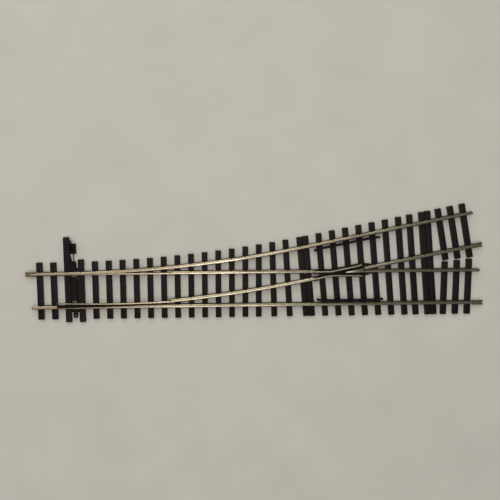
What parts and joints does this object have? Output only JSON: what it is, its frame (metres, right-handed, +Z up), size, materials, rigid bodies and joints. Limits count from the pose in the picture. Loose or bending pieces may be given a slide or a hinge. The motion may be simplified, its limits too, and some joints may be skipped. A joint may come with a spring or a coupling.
{
  "type": "model turnout switch",
  "caption": "Left-hand model railway turnout: nickel silver rails on a moulded sleeper bed, hinged blades moved by a tie bar and a weighted hand lever.",
  "frame": {"origin": "the middle of the base, on the surface that the sleepers stand on", "axes": "+X along the through track from the toe to the exits, +Y towards the branch, +Z up"},
  "size_m": [0.4604, 0.1166, 0.0108],
  "materials": {
    "sleeper_plastic": "dark brown-black moulded plastic with a fine wood grain",
    "rail_metal": "drawn nickel silver, satin, slightly tarnished to yellow-brown",
    "joiner_metal": "folded nickel silver strip, dull",
    "black_moulding": "black moulded plastic",
    "insulator": "dark moulded plastic",
    "blackened_metal": "blackened metal, matt",
    "pin_steel": "bright turned steel"
  },
  "bodies": {
    "track": {"bed_toe": "sleeper_plastic", "bed_crossing": "sleeper_plastic", "bed_exit": "sleeper_plastic", "stock_rail_straight": "rail_metal", "stock_rail_curved": "rail_metal", "closure_rail_straight": "rail_metal", "closure_rail_curved": "rail_metal", "wing_rail_branch_side": "rail_metal", "wing_rail_through_side": "rail_metal", "crossing_nose": "rail_metal", "exit_rail_through": "rail_metal", "exit_rail_branch": "rail_metal", "guard_rail_through": "black_moulding", "guard_rail_branch": "black_moulding", "rail_joiner_toe": "joiner_metal", "rail_joiner_through": "joiner_metal", "rail_joiner_branch": "joiner_metal", "heel_joiner_straight": "joiner_metal", "heel_joiner_curved": "joiner_metal", "insulated_joiner_straight": "insulator", "insulated_joiner_curved": "insulator", "lever_stand": "blackened_metal", "stand_screw_1": "blackened_metal", "stand_screw_2": "blackened_metal"},
    "lever": {"lever_arm": "blackened_metal", "lever_weight": "blackened_metal", "lever_axle": "blackened_metal"},
    "tie_bar": {"tie_bar": "black_moulding", "connecting_rod": "blackened_metal", "drive_stud": "black_moulding"},
    "straight_blade": {"blade_straight": "rail_metal", "blade_lug_straight": "pin_steel", "heel_pin_straight": "pin_steel"},
    "curved_blade": {"blade_curved": "rail_metal", "blade_lug_curved": "pin_steel", "heel_pin_curved": "pin_steel"}
  },
  "joints": [
    {"name": "lever_throw", "type": "hinge", "parent": "track", "child": "lever", "pos_m": [-0.1835, 0.01528, 0.0044], "axis": [1, 0, 0], "range_deg": [0, 100]},
    {"name": "tie_bar_slide", "type": "slide", "parent": "track", "child": "tie_bar", "axis": [0, -1, 0], "range_m": [0, 0.0034]},
    {"name": "straight_blade_swing", "type": "hinge", "parent": "track", "child": "straight_blade", "pos_m": [-0.09475, -0.00952, 0.006], "axis": [0, 0, 1], "range_deg": [0, 2.21]},
    {"name": "curved_blade_swing", "type": "hinge", "parent": "track", "child": "curved_blade", "pos_m": [-0.09475, -0.03835, 0.006], "axis": [0, 0, 1], "range_deg": [0, 2.21]}
  ],
  "couplings": [
    {"joint": "lever_throw", "follows": "tie_bar_slide", "rad_per_m": 513.33},
    {"joint": "straight_blade_swing", "follows": "tie_bar_slide", "rad_per_m": 11.354},
    {"joint": "curved_blade_swing", "follows": "tie_bar_slide", "rad_per_m": 11.354}
  ]
}
